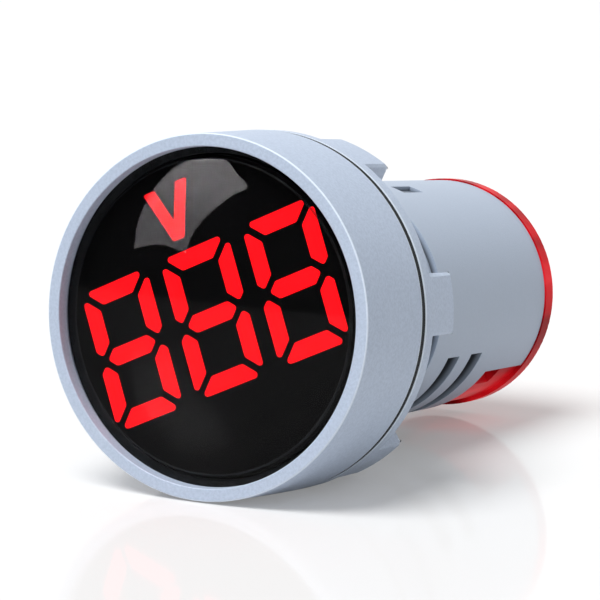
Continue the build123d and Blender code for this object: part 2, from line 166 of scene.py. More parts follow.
# Ring nut
NUT_BORE = 11.05
NUT_FLANGE = 1.44
HUB_RADIUS = 12.45
HUB_LENGTH = 4.6
LUG_COUNT = 6
LUG_ANGLE = -18.1
LUG_WIDTH = 4.95
LUG_CHAMFER = 0.22
LUG_INSET = 0.03
LUG_LAND_POINTS = 9
TIP_CHAMFER = 0.25
NUT_BEVEL = 0.14
NUT_SIDES = 180

# Terminal screws
SHANK_RADIUS = 1.45
SCREW_PITCH = 0.5
SCREW_THREAD = 0.22
HEAD_HEIGHT = 2.0
HEAD_ROUND = 0.6
DRIVE_LENGTH = 3.2
DRIVE_WIDTH = 0.8
DRIVE_DEPTH = 1.1
DRIVE_SLOPE = 0.05
SCREW_SIDES = 144
SCREW_POINTS = 8
HEAD_ROUND_POINTS = 8
HEAD_TOP_POINTS = 40

# Painted highlights along the edges of the grey mouldings: how far the paler bands reach from each
# edge and how they fade
HIGHLIGHT_FADE = 0.06
HIGHLIGHT_SHARE = 0.6
FACE_HIGHLIGHT_WIDTH = 0.12
FACE_HIGHLIGHT_DEPTH = 0.10
SEAM_HIGHLIGHT_WIDTH = 0.17
SEAM_HIGHLIGHT_FRONT = 0.18
SEAM_HIGHLIGHT_REAR = 0.16
SEAM_FADE = 0.04
TIP_HIGHLIGHT_WIDTH = 0.55
TIP_HIGHLIGHT_DEPTH = 0.26
TIP_WIDTH_FADE = 0.1

# Deeper tone of the barrel behind the nut and painted shade in its bore, where each sets in and how it
# fades
BARREL_SHADE_GAP = 0.1
BARREL_SHADE_FADE = 0.1
BARREL_SHADE = 0.8
BORE_SHADE_RADIUS = 9.9
BORE_SHADE_FADE = 0.6
BORE_SHADE_FRONT = 0.2
BORE_SHADE_REAR = 0.6
BORE_REAR_FADE = 0.4

# Streaks of the terminal cover, calmer on its flat end
STREAK_MIDDLE = 0.53
STREAK_CALM = 0.85
COVER_END_INSET = 0.35
COVER_END_FADE = 0.3

# Clean-up and shading of the made meshes: distances in metres and angles in degrees
WELD_DISTANCE = 0.000001
SLIVER_DISTANCE = 0.0000005
SHARP_ANGLE = 40
BEVEL_ANGLE = 32
BEVEL_STEPS = 3

# Where the flat beside a rounded corner gets its extra point, as a share of the arc's reach
FLAT_REACH = 1.05


def box_mm(node):
    """Lowest and highest corners of a node in millimetres."""
    low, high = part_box(node)
    return np.array(low) / MM, np.array(high) / MM


class Link:
    """A socket in a node tree. Arithmetic on links adds Math nodes to that tree."""

    def __init__(self, tree, socket):
        self.tree = tree
        self.socket = socket

    def maths(self, operation, *values):
        """Result of a Math node on numbers and links."""
        return self.tree.add("ShaderNodeMath", {"operation": operation}, dict(enumerate(values)))

    def __add__(self, other):
        return self.maths("ADD", self, other)

    def __radd__(self, other):
        return self.maths("ADD", other, self)

    def __sub__(self, other):
        return self.maths("SUBTRACT", self, other)

    def __rsub__(self, other):
        return self.maths("SUBTRACT", other, self)

    def __mul__(self, other):
        return self.maths("MULTIPLY", self, other)

    def __pow__(self, other):
        return self.maths("POWER", self, other)

    def ramp(self, low, high):
        """0 below low, 1 above high and smooth between them."""
        settings = {"interpolation_type": "SMOOTHSTEP"}
        return self.tree.add("ShaderNodeMapRange", settings, {"Value": self, 1: low, 2: high})

    def past(self, start, fade):
        """0 before a start in millimetres, 1 past the fade after it and smooth between them."""
        return self.ramp(start * MM, (start + fade) * MM)

    def before(self, start, fade):
        """1 before a start in millimetres, 0 past the fade after it and smooth between them."""
        return 1 - self.past(start, fade)


class Tree:
    """The nodes of one material or of the world."""

    def __init__(self, owner):
        owner.use_nodes = True
        self.nodes = owner.node_tree.nodes
        self.links = owner.node_tree.links
        self.nodes.clear()

    def add(self, kind, settings=None, inputs=None, output=0):
        """One node of a kind, with its settings and its sockets' values or links; returns one output."""
        node = self.nodes.new(kind)
        for name, value in (settings or {}).items():
            setattr(node, name, value)
        for name, value in (inputs or {}).items():
            if isinstance(value, Link):
                self.links.new(value.socket, node.inputs[name])
            else:
                node.inputs[name].default_value = value
        return Link(self, node.outputs[output]) if len(node.outputs) else node

    def place(self):
        """Object coordinates in metres."""
        return self.add("ShaderNodeTexCoord", output="Object")

    def axes(self):
        """The three Object coordinates as separate values."""
        node = self.add("ShaderNodeSeparateXYZ", None, {0: self.place()}).socket.node
        return [Link(self, output) for output in node.outputs]

    def round_place(self):
        """Distance from the Y axis and place along it, in metres."""
        across, along, upright = self.axes()
        return (across * across + upright * upright) ** 0.5, along

    def noise(self, size, detail=2.0, roughness=0.5, stretch=(1.0, 1.0, 1.0)):
        """Noise whose grains are about the given size in metres, drawn out where stretch is under 1."""
        at = self.add("ShaderNodeMapping", None, {"Vector": self.place(), "Scale": stretch})
        inputs = {"Vector": at, "Scale": 1 / size, "Detail": detail, "Roughness": roughness}
        return self.add("ShaderNodeTexNoise", None, inputs)

    def blend(self, share, first, second):
        """Colour between two colours."""
        inputs = {0: share, 6: first, 7: second}
        return self.add("ShaderNodeMix", {"data_type": "RGBA"}, inputs, output=2)

    def bump(self, height, depth):
        """Normal of a surface raised by height times depth in metres."""
        return self.add("ShaderNodeBump", None, {"Strength": 1.0, "Distance": depth, "Height": height})

    def light_path(self, *names):
        """1 for a ray of any of the named kinds, else 0."""
        node = self.add("ShaderNodeLightPath").socket.node
        kinds = [Link(self, node.outputs[name]) for name in names]
        seen = kinds[0]
        for kind in kinds[1:]:
            seen = seen.maths("MAXIMUM", seen, kind)
        return seen

    def finish(self, shader, kind="ShaderNodeOutputMaterial"):
        """Leads a shader to the output."""
        self.add(kind, None, {"Surface": shader})


def colour(red, green, blue):
    """Linear colour as a socket takes it."""
    return (red, green, blue, 1.0)


WHITE = colour(1.0, 1.0, 1.0)


def principled(name, paint):
    """Material from a function that gives a Principled shader's sockets for its tree."""
    material = bpy.data.materials.new(name)
    tree = Tree(material)
    tree.finish(tree.add("ShaderNodeBsdfPrincipled", None, paint(tree)))
    return material


def grey_plastic(tree):
    """Satin grey-blue moulding with a fine speckle and a spark-eroded grain.

    The edges of the bezel, the nut and its lugs carry painted highlights, the barrel is a shade
    deeper and its bore is darkened with painted shade.
    """
    dark, light = colour(0.380, 0.453, 0.575), colour(0.470, 0.548, 0.680)
    edge_highlight, deeper = colour(0.80, 0.88, 0.98), colour(0.36, 0.425, 0.525)
    unlit = colour(0.030, 0.036, 0.044)
    speckle = tree.noise(0.00024, detail=3.0, roughness=0.65)
    cloud = tree.noise(0.005)
    grain = tree.noise(0.00016)
    shade = tree.blend(speckle.ramp(0.34, 0.66) * 0.7 + cloud * 0.3, dark, light)
    radius, along = tree.round_place()
    bezel_low, bezel_high = box_mm("bezel")
    rim = bezel_high[0]
    nut_front, lug_end = (corner[1] for corner in box_mm("ring_nut"))
    barrel_end = box_mm("barrel")[1][1]
    # Painted highlights: paler bands along the face's outer edge, the seam between bezel and nut and the
    # lug tips
    face_edge_highlight = radius.past(FACE_RADIUS - FACE_HIGHLIGHT_WIDTH, HIGHLIGHT_FADE)
    face_edge_highlight *= along.before(bezel_low[1] + FACE_HIGHLIGHT_DEPTH, HIGHLIGHT_FADE)
    seam_highlights = radius.past(rim - SEAM_HIGHLIGHT_WIDTH, HIGHLIGHT_FADE)
    seam_highlights *= along.past(bezel_high[1] - SEAM_HIGHLIGHT_FRONT, SEAM_FADE)
    seam_highlights *= along.before(nut_front + SEAM_HIGHLIGHT_REAR, SEAM_FADE)
    behind_nut = along.past(lug_end + BARREL_SHADE_GAP, BARREL_SHADE_FADE)
    lug_tip_highlights = radius.past(rim - TIP_HIGHLIGHT_WIDTH, TIP_WIDTH_FADE)
    lug_tip_highlights *= along.past(lug_end - TIP_HIGHLIGHT_DEPTH, HIGHLIGHT_FADE) * (1 - behind_nut)
    shade = tree.blend((face_edge_highlight + seam_highlights + lug_tip_highlights) * HIGHLIGHT_SHARE, shade, edge_highlight)
    shade = tree.blend(behind_nut * BARREL_SHADE, shade, deeper)
    # Painted shade: the bore and the vent walls behind the neck darken towards the unlit colour
    painted_bore_shade = radius.before(BORE_SHADE_RADIUS, BORE_SHADE_FADE)
    painted_bore_shade *= along.past(NECK_REAR - BORE_SHADE_FRONT, BORE_SHADE_FRONT)
    painted_bore_shade *= along.before(barrel_end - BORE_SHADE_REAR, BORE_REAR_FADE)
    return {
        "Base Color": tree.blend(painted_bore_shade, shade, unlit),
        "Roughness": grain * 0.12 + 0.42,
        "Normal": tree.bump(grain, 0.000014),
    }


def smoked_window(tree):
    """Glossy smoked plastic that lets the lit segments through, denser at its step and clear behind."""
    ripple = tree.noise(0.006, detail=1.0)
    radius, along = tree.round_place()
    outer, rear = box_mm("lens")[1][:2]
    ring_near, ring_far = (outer - STEP_INSET + offset for offset in STEP_RING)
    step = radius.past(ring_near, STEP_RING_FADE) * radius.before(ring_far, STEP_RING_FADE)
    front = along.before(rear - REAR_CLEAR, REAR_CLEAR_FADE)
    return {
        "Base Color": colour(0.002, 0.002, 0.0022),
        "Roughness": ripple * 0.01 + 0.01,
        "Alpha": (step * STEP_SMOKE + WINDOW_SMOKE) * front,
        "Normal": tree.bump(ripple, 0.0000015),
    }


def light_guide(tree):
    """Red light guide lit from behind by its chip."""
    dim_glow, bright_glow = colour(1.0, 0.0, 0.002), colour(1.0, 0.002, 0.006)
    cloud = tree.noise(0.0011, detail=1.0)
    return {
        "Base Color": colour(0.35, 0.005, 0.008),
        "Roughness": 0.5,
        "Specular IOR Level": 0.05,
        "Emission Color": tree.blend(cloud, dim_glow, bright_glow),
        "Emission Strength": 1.5,
    }


def display_black(tree):
    """Dead black moulding round the light guides."""
    dark, light = colour(0.0012, 0.0012, 0.0014), colour(0.0022, 0.0022, 0.0024)
    grain = tree.noise(0.0004)
    return {
        "Base Color": tree.blend(grain, dark, light),
        "Roughness": 0.8 + grain * 0.1,
        "Specular IOR Level": 0.03,
    }


def black_rubber(tree):
    """Dull black rubber with a faint bloom."""
    dark, light = colour(0.010, 0.011, 0.013), colour(0.020, 0.022, 0.025)
    bloom = tree.noise(0.0015, detail=3.0)
    grain = tree.noise(0.0001)
    return {
        "Base Color": tree.blend(bloom, dark, light),
        "Roughness": 0.72 + bloom * 0.1,
        "Specular IOR Level": 0.2,
        "Normal": tree.bump(grain, 0.00001),
    }


def red_moulding(tree):
    """Deep red terminal block moulding."""
    dark, light = colour(0.10, 0.0006, 0.002), colour(0.17, 0.002, 0.004)
    grain = tree.noise(0.0003)
    return {
        "Base Color": tree.blend(grain, dark, light),
        "Roughness": 0.35 + grain * 0.1,
        "Specular IOR Level": 0.25,
        "Normal": tree.bump(grain, 0.00001),
    }


def red_cover(tree):
    """Translucent red cap streaked along the axis, fainter on its flat end, with a painted glow."""
    dark_streak, mid_streak = colour(0.26, 0.001, 0.004), colour(0.56, 0.006, 0.012)
    pale_streak = colour(0.72, 0.030, 0.040)
    dim_glow, bright_glow = colour(0.10, 0.0, 0.001), colour(0.85, 0.012, 0.020)
    cover_end = box_mm("terminal_cover")[1][1]
    end = tree.axes()[1].past(cover_end - COVER_END_INSET, COVER_END_FADE)
    streak = tree.noise(0.0045, roughness=0.55, stretch=(1.0, 0.12, 1.0))
    streak = (streak - STREAK_MIDDLE) * (1 - end * STREAK_CALM) + STREAK_MIDDLE
    cloud = tree.noise(0.002)
    deep = tree.blend(streak.ramp(0.36, 0.52), dark_streak, mid_streak)
    return {
        "Base Color": tree.blend(streak.ramp(0.54, 0.68), deep, pale_streak),
        "Roughness": 0.26 + cloud * 0.08,
        "IOR": 1.25,
        "Specular IOR Level": 0.08,
        # Painted glow: the paler streaks give off a faint red light
        "Emission Color": tree.blend(streak.ramp(0.46, 0.62), dim_glow, bright_glow),
        "Emission Strength": 0.28,
    }


def circuit_board(tree):
    """Green solder mask with faint copper tracks under it."""
    waves = {"Vector": tree.place(), "Scale": 400.0, "Distortion": 2.0}
    tracks = tree.add("ShaderNodeTexWave", {"wave_profile": "SIN"}, waves)
    share = tracks.maths("GREATER_THAN", tracks, 0.6)
    return {
        "Base Color": tree.blend(share, colour(0.012, 0.10, 0.04), colour(0.02, 0.16, 0.06)),
        "Roughness": 0.35 + tree.noise(0.001) * 0.1,
    }


def metal(dark, light, grain_size):
    """Function for a metal between two tones with a brushed grain."""
    def paint(tree):
        grain = tree.noise(grain_size, detail=3.0)
        return {
            "Base Color": tree.blend(grain, dark, light),
            "Metallic": 1.0,
            "Roughness": 0.26 + grain * 0.16,
            "Normal": tree.bump(grain, 0.000006),
        }
    return paint


def moulded(dark, light, roughness):
    """Function for a plain moulding between two tones."""
    def paint(tree):
        grain = tree.noise(0.0004)
        return {
            "Base Color": tree.blend(grain, dark, light),
            "Roughness": roughness + grain * 0.12,
            "Normal": tree.bump(grain, 0.000008),
        }
    return paint


FINISHES = {
    "grey_plastic": grey_plastic,
    "smoked_window": smoked_window,
    "black_rubber": black_rubber,
    "black_plastic": display_black,
    "red_light_guide": light_guide,
    "chip_resin": moulded(colour(0.55, 0.42, 0.25), colour(0.66, 0.52, 0.34), 0.2),
    "circuit_board": circuit_board,
    "chip_package": moulded(colour(0.008, 0.008, 0.009), colour(0.02, 0.02, 0.022), 0.45),
    "header_plastic": moulded(colour(0.010, 0.010, 0.010), colour(0.022, 0.022, 0.022), 0.4),
    "capacitor_case": moulded(colour(0.55, 0.34, 0.02), colour(0.65, 0.42, 0.04), 0.25),
    "capacitor_can": moulded(colour(0.012, 0.016, 0.03), colour(0.03, 0.035, 0.055), 0.25),
    "resistor_body": moulded(colour(0.20, 0.28, 0.33), colour(0.28, 0.36, 0.42), 0.4),
    "red_moulding": red_moulding,
    "red_cover": red_cover,
    "brass_plate": metal(colour(0.62, 0.42, 0.13), colour(0.76, 0.56, 0.22), 0.0002),
    "plated_steel": metal(colour(0.50, 0.50, 0.48), colour(0.66, 0.66, 0.64), 0.0002),
}
materials = {slot: principled(slot, paint) for slot, paint in FINISHES.items()}
slots = {part["node"]: part["material_slot"] for part in frame["record"]["subparts"]}
bodies = {node: body for body, nodes in frame["record"]["behaviour"]["bodies"].items() for node in nodes}
for node_name, slot in slots.items():
    node = frame["nodes"][node_name]
    for i in range(len(node.material_slots)):
        node.material_slots[i].material = materials[slot]


def grid_faces(rows, columns, wrap=False):
    """Quads of a grid of vertices numbered row by row; wrapped, the last column joins the first."""
    index = np.arange(rows * columns).reshape(rows, columns)
    if wrap:
        index = np.hstack([index, index[:, :1]])
    corners = [index[:-1, :-1], index[1:, :-1], index[1:, 1:], index[:-1, 1:]]
    return np.stack(corners, axis=-1).reshape(-1, 4)


def rounded_line(points, radius, steps=5):
    """Open line through (radius, y) points with its inner corners rounded by one radius or one each.

    Each corner becomes the circular arc that touches both sides, written as the rational quadratic
    curve whose middle weight is the sine of half the corner's angle. One more point just outside
    each end of the arc keeps the shading of the flats flat.
    """
    points = np.array(points, float)
    corner = points[1:-1]
    back = points[:-2] - corner
    ahead = points[2:] - corner
    back /= np.linalg.norm(back, axis=1)[:, None]
    ahead /= np.linalg.norm(ahead, axis=1)[:, None]
    half_angle = np.arccos(np.sum(back * ahead, axis=1)) / 2
    reach = (radius / np.tan(half_angle))[:, None, None]
    weight = np.sin(half_angle)[:, None, None]
    t = np.linspace(0, 1, steps)[None, :, None]
    start = corner[:, None] + reach * back[:, None]
    end = corner[:, None] + reach * ahead[:, None]
    shares = [(1 - t) ** 2, 2 * weight * t * (1 - t), t ** 2]
    arcs = (shares[0] * start + shares[1] * corner[:, None] + shares[2] * end) / sum(shares)
    before = corner[:, None] + FLAT_REACH * reach * back[:, None]
    after = corner[:, None] + FLAT_REACH * reach * ahead[:, None]
    bends = np.concatenate([before, arcs, after], axis=1)
    return np.vstack([points[:1], bends.reshape(-1, 2), points[-1:]])


def turned(profile, angles):
    """Grid of the (radius, y) profile carried round the Y axis through the angles."""
    radius, along = np.array(profile).T
    turn = np.radians(angles)
    x = radius[:, None] * np.cos(turn)
    z = radius[:, None] * np.sin(turn)
    y = np.broadcast_to(along[:, None], x.shape)
    return np.stack([x, y, z], axis=-1)


def turned_shell(profile, count):
    """Vertices and faces of a profile turned once round the axis."""
    grid = turned(profile, np.linspace(-180, 180, count, endpoint=False))
    return grid.reshape(-1, 3), grid_faces(*grid.shape[:2], wrap=True)


def ruled(breaks, step):
    """Rising values that hit every break and are about a step apart between them."""
    spans = zip(breaks[:-1], breaks[1:])
    runs = [np.linspace(a, b, max(2, math.ceil((b - a) / step) + 1))[:-1] for a, b in spans]
    return np.concatenate(runs + [breaks[-1:]])


def make_piece(name, shells, node, bevel=None):
    """Mesh object from shells of vertices in millimetres and quads, which replaces a node."""
    sizes = np.cumsum([0] + [len(vertices) for vertices, faces in shells])
    vertices = np.vstack([vertices for vertices, faces in shells]) * MM
    faces = np.vstack([faces + start for (vertices, faces), start in zip(shells, sizes)])
    mesh = bpy.data.meshes.new(name)
    mesh.from_pydata(vertices.tolist(), [], faces.tolist())
    work = bmesh.new()
    work.from_mesh(mesh)
    bmesh.ops.remove_doubles(work, verts=work.verts, dist=WELD_DISTANCE)
    bmesh.ops.dissolve_degenerate(work, edges=work.edges, dist=SLIVER_DISTANCE)
    bmesh.ops.recalc_face_normals(work, faces=work.faces)
    work.to_mesh(mesh)
    work.free()
    mesh.shade_smooth()
    mesh.set_sharp_from_angle(angle=math.radians(SHARP_ANGLE))
    mesh.materials.append(materials[slots[node]])
    piece = bpy.data.objects.new(name, mesh)
    bpy.context.scene.collection.objects.link(piece)
    if bevel:
        edges = piece.modifiers.new("rounded edges", "BEVEL")
        edges.width = bevel * MM
        edges.segments = BEVEL_STEPS
        edges.limit_method = "ANGLE"
        edges.angle_limit = math.radians(BEVEL_ANGLE)
        edges.harden_normals = True
    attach(piece, bodies[node])
    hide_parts(node)


def make_bezel():
    """Bezel as a turned profile: a flat face, a lip over the window and a side that widens rearwards."""
    low, high = box_mm("bezel")
    front, rear = low[1], high[1]
    seam = (BEZEL_BORE, (front + rear) / 2)
    profile = rounded_line([
        seam,
        (BEZEL_BORE, front + LIP_DEPTH),
        (LIP_RADIUS, front + LIP_DEPTH),
        (LIP_RADIUS, front),
        (FACE_RADIUS, front),
        (high[0], rear),
        (BEZEL_BORE, rear),
        seam,
    ], BEZEL_ROUNDS, BEZEL_ROUND_STEPS)
    make_piece("bezel_ring", [turned_shell(profile, BEZEL_SIDES)], "bezel")


def make_window():
    """Window as a turned profile: a shallow dome, a rounded step down to the rim and a pocket behind.

    The dome is the circle through the crown and the step's edge, so its depth below the crown at a
    radius r is R - sqrt(R * R - r * r).
    """
    low, high = box_mm("lens")
    outer = high[0]
    step = outer - STEP_INSET
    dome = (step ** 2 + CROWN_HEIGHT ** 2) / (2 * CROWN_HEIGHT)
    rear = high[1]
    rim = rear - FLANGE_DEPTH
    radius = np.linspace(0, step - 2 * WINDOW_ROUND, CROWN_POINTS)
    crown_line = np.stack([radius, low[1] + dome - np.sqrt(dome ** 2 - radius ** 2)], axis=-1)
    edge_line = rounded_line([
        crown_line[-1],
        (step, rim - STEP_HEIGHT),
        (step, rim),
        (outer, rim),
        (outer, rear),
        (outer - POCKET_INSET, rear),
        (outer - POCKET_INSET, rear - POCKET_DEPTH),
        (0, rear - POCKET_DEPTH),
    ], WINDOW_ROUND)
    profile = np.vstack([crown_line, edge_line[1:]])
    make_piece("window", [turned_shell(profile, WINDOW_SIDES)], "lens")


def thread_depth(along, turn, pitch, depth, near, far, runout):
    """Depth of a helical thread below its crest.

    The phase is the distance along the axis in pitches less the turn in revolutions. A flat crest,
    a flank, a flat root and a flank follow one another over each whole phase, and the depth fades
    out near both ends.
    """
    phase = (along / pitch - turn / 360) % 1
    flank = np.clip(np.abs(phase - 0.5) * 4 - 0.5, 0, 1)
    fade = np.clip(np.minimum(along - near, far - along) / runout, 0, 1)
    return depth * (1 - flank) * fade


def barrel_front(angles):
    """Flange, thread and neck of the barrel, with the bore under them, as one turned strip."""
    low, high = box_mm("barrel")
    flange = high[0]
    thread = np.arange(FLANGE_REAR + THREAD_START, THREAD_REAR, THREAD_PITCH / THREAD_POINTS)
    thread_line = np.stack([np.full(len(thread), THREAD_RADIUS), thread], axis=-1)
    head = [(BORE_RADIUS, NECK_REAR), (BORE_RADIUS, low[1]), (flange, low[1]), (flange, FLANGE_REAR)]
    tail = [(THREAD_RADIUS, THREAD_REAR), (NECK_RADIUS, THREAD_REAR)]
    tail += [(NECK_RADIUS, NECK_REAR), (BARREL_RADIUS, NECK_REAR)]
    profile = np.vstack([head, [(THREAD_RADIUS, FLANGE_REAR)], thread_line, tail])
    grid = turned(profile, angles)
    first = len(head) + 1
    rows = slice(first, first + len(thread))
    ends = (FLANGE_REAR, THREAD_REAR)
    height = THREAD_RADIUS - BARREL_RADIUS
    cut = thread_depth(thread[:, None], angles[None, :], THREAD_PITCH, height, *ends, THREAD_RUNOUT)
    grid[rows, :, 0::2] *= (1 - cut / THREAD_RADIUS)[:, :, None]
    return grid.reshape(-1, 3), grid_faces(*grid.shape[:2], wrap=True)


def barrel_rear(angles, inner_angles, stations):
    """Pierced tube behind the neck.

    Two grids over the same angles and stations give the outer and the inner face. The cells of the
    vents, the latch window and the wire notch are left out of both, and wherever a kept cell borders
    a left-out one, or the rear end, a quad joins the two faces.
    """
    count, rows = len(angles), len(stations)
    turn = np.radians(np.stack([angles, inner_angles]))
    radius = np.array([BARREL_RADIUS, BORE_RADIUS])[:, None]
    x = np.repeat((radius * np.cos(turn))[:, :, None], rows, axis=2)
    z = np.repeat((radius * np.sin(turn))[:, :, None], rows, axis=2)
    y = np.broadcast_to(stations, x.shape)
    vertices = np.stack([x, y, z], axis=-1).reshape(-1, 3)
    middle = (angles + np.append(angles[1:], angles[0] + 360)) / 2
    middle = (middle + 180) % 360 - 180
    height = (stations[:-1] + stations[1:]) / 2
    from_bottom = np.abs((middle - BOTTOM + 180) % 360 - 180)[:, None]
    kept = np.ones((count, rows - 1), bool)
    for near, far in VENTS:
        kept &= ~((from_bottom < VENT_HALF_SPAN) & (height > near) & (height < far))
    half_latch = math.degrees(math.asin(LATCH_WIDTH / 2 / BARREL_RADIUS))
    in_latch = (height > LATCH_SPAN[0]) & (height < LATCH_SPAN[1])
    kept &= ~((np.abs(middle - LATCH_ANGLE)[:, None] < half_latch) & in_latch)
    half_notch = math.degrees(math.asin(NOTCH_WIDTH / 2 / BARREL_RADIUS))
    kept &= ~((from_bottom < half_notch) & (height > stations[-1] - NOTCH_LENGTH))
    index = np.arange(2 * count * rows).reshape(2, count, rows)
    following = np.roll(index, -1, axis=1)
    corners = [index[:, :, :-1], following[:, :, :-1], following[:, :, 1:], index[:, :, 1:]]
    cells = np.stack(corners, axis=-1)
    faces = [cells[0][kept], cells[1][kept]]
    side = kept != np.roll(kept, 1, axis=0)
    outer, inner = index
    side_walls = np.stack([outer[:, :-1], outer[:, 1:], inner[:, 1:], inner[:, :-1]], axis=-1)
    faces.append(side_walls[side])
    across = np.ones((count, rows), bool)
    across[:, 0] = False
    across[:, 1:-1] = kept[:, 1:] != kept[:, :-1]
    across[:, -1] = kept[:, -1]
    end_walls = np.stack([outer, following[0], following[1], inner], axis=-1)
    faces.append(end_walls[across])
    return vertices, np.vstack(faces)


def bricks(spans):
    """Closed boxes between two values on each axis, given as an array of (box, axis, end)."""
    spans = np.array(spans)
    pick = np.array([[(i >> k) & 1 for k in range(3)] for i in range(8)])
    vertices = spans[:, np.arange(3)[None, :], pick].reshape(-1, 3)
    sides = [(0, 1, 3, 2), (4, 6, 7, 5), (0, 4, 5, 1), (2, 3, 7, 6), (0, 2, 6, 4), (1, 5, 7, 3)]
    faces = (np.arange(len(spans))[:, None, None] * len(pick) + np.array(sides)).reshape(-1, 4)
    return vertices, faces


def swung(vertices, angle):
    """Points carried about the Y axis by an angle from +X towards +Z."""
    turn = math.radians(angle)
    x = vertices[..., 0] * math.cos(turn) - vertices[..., 2] * math.sin(turn)
    z = vertices[..., 0] * math.sin(turn) + vertices[..., 2] * math.cos(turn)
    return np.stack([x, vertices[..., 1], z], axis=-1)


def latch_nose():
    """Flat nose of the inner latch, sunk in the latch window and lapped into its walls."""
    half = LATCH_WIDTH / 2 + LATCH_LAP
    along = (LATCH_SPAN[0] - LATCH_LAP, LATCH_SPAN[1] + LATCH_LAP)
    vertices, faces = bricks([((BORE_RADIUS, BARREL_RADIUS - LATCH_DEPTH), along, (-half, half))])
    return swung(vertices, LATCH_ANGLE), faces


def make_barrel():
    """Barrel from its threaded front, its pierced rear, the four board rails and the latch nose."""
    rear_end = box_mm("barrel")[1][1]
    half_latch = LATCH_WIDTH / 2
    half_notch = NOTCH_WIDTH / 2
    outer_breaks = [-180.0]
    inner_breaks = [-180.0]
    for radius, breaks in ((BARREL_RADIUS, outer_breaks), (BORE_RADIUS, inner_breaks)):
        notch = math.degrees(math.asin(half_notch / radius))
        latch = math.degrees(math.asin(half_latch / radius))
        breaks += [BOTTOM - VENT_HALF_SPAN, BOTTOM - notch, BOTTOM + notch, BOTTOM + VENT_HALF_SPAN]
        breaks += [LATCH_ANGLE - latch, LATCH_ANGLE + latch, 180.0]
    angles = ruled(outer_breaks, BARREL_ANGLE_STEP)[:-1]
    inner_angles = np.interp(angles, outer_breaks, inner_breaks)
    marks = [NECK_REAR, *LATCH_SPAN, rear_end - NOTCH_LENGTH, rear_end]
    marks += [station for vent in VENTS for station in vent]
    stations = ruled(sorted(marks), BARREL_STATION_STEP)
    front, front_faces = barrel_front(angles)
    strip = front.reshape(-1, len(angles), 3)
    inner_turn = np.radians(inner_angles)
    strip[:2, :, 0] = BORE_RADIUS * np.cos(inner_turn)
    strip[:2, :, 2] = BORE_RADIUS * np.sin(inner_turn)
    wall = (BORE_RADIUS + NECK_RADIUS) / 2
    reach = [math.sqrt(wall ** 2 - max(abs(low), abs(high)) ** 2) for low, high in RAIL_HEIGHTS]
    rails = [
        (sorted((side * RAIL_INNER, side * far)), (FLANGE_REAR, RAIL_REAR), height)
        for side in (-1, 1)
        for height, far in zip(RAIL_HEIGHTS, reach)
    ]
    rear = barrel_rear(angles, inner_angles, stations)
    shells = [(front, front_faces), rear, bricks(rails), latch_nose()]
    make_piece("barrel_shell", shells, "barrel", BARREL_BEVEL)


def lug_section(root, land):
    """Outline of a lug across the axis: parallel sides, chamfered corners and a land on a circle.

    The chamfer runs at 45 degrees from the shoulder, so it meets the circle where a step t along it
    solves (s + t) ** 2 + (h - t) ** 2 = land ** 2 for the shoulder s and the half width h.
    """
    half = LUG_WIDTH / 2
    full = box_mm("ring_nut")[1][0] - LUG_INSET
    shoulder = math.sqrt(full ** 2 - (half - LUG_CHAMFER) ** 2) - LUG_CHAMFER
    gap = shoulder - half
    step = (math.sqrt(gap ** 2 - 2 * (shoulder ** 2 + half ** 2 - land ** 2)) - gap) / 2
    swing = math.asin((half - step) / land)
    arc = np.linspace(-swing, swing, LUG_LAND_POINTS)
    land_line = np.stack([land * np.cos(arc), land * np.sin(arc)], axis=-1)
    return np.vstack([[(root, -half), (shoulder, -half)], land_line, [(shoulder, half), (root, half)]])


def lug_shell(angle):
    """One lug as its outline carried rearwards, with the land chamfered at the tip."""
    outer, tip = box_mm("ring_nut")[1][:2]
    full = outer - LUG_INSET
    root = (NUT_BORE + HUB_RADIUS) / 2
    sections = np.stack([lug_section(root, land) for land in (full, full, full - TIP_CHAMFER)])
    stations = np.array([NUT_FLANGE / 2, tip - TIP_CHAMFER, tip])
    along = np.broadcast_to(stations[:, None], sections.shape[:2])
    grid = np.stack([sections[..., 0], along, sections[..., 1]], axis=-1)
    vertices = swung(grid, angle).reshape(-1, 3)
    rows, count = sections.shape[:2]
    half = count // 2
    low = np.arange(half)
    high = count - 1 - low
    strip = np.stack([low[:-1], low[1:], high[1:], high[:-1]], axis=-1)
    middle = np.array([[low[-1], half, half, high[-1]]])
    cap = np.vstack([strip, middle])
    far_cap = cap + (rows - 1) * count
    return vertices, np.vstack([grid_faces(rows, count, wrap=True), cap, far_cap])


def make_nut():
    """Ring nut: a turned flange and hub with six lugs behind the flange."""
    outer = box_mm("ring_nut")[1][0]
    profile = [
        (NUT_BORE, 0),
        (outer, 0),
        (outer, NUT_FLANGE),
        (HUB_RADIUS, NUT_FLANGE),
        (HUB_RADIUS, HUB_LENGTH),
        (NUT_BORE, HUB_LENGTH),
        (NUT_BORE, 0),
    ]
    lugs = [lug_shell(LUG_ANGLE + i * 360 / LUG_COUNT) for i in range(LUG_COUNT)]
    make_piece("nut", [turned_shell(profile, NUT_SIDES)] + lugs, "ring_nut", NUT_BEVEL)


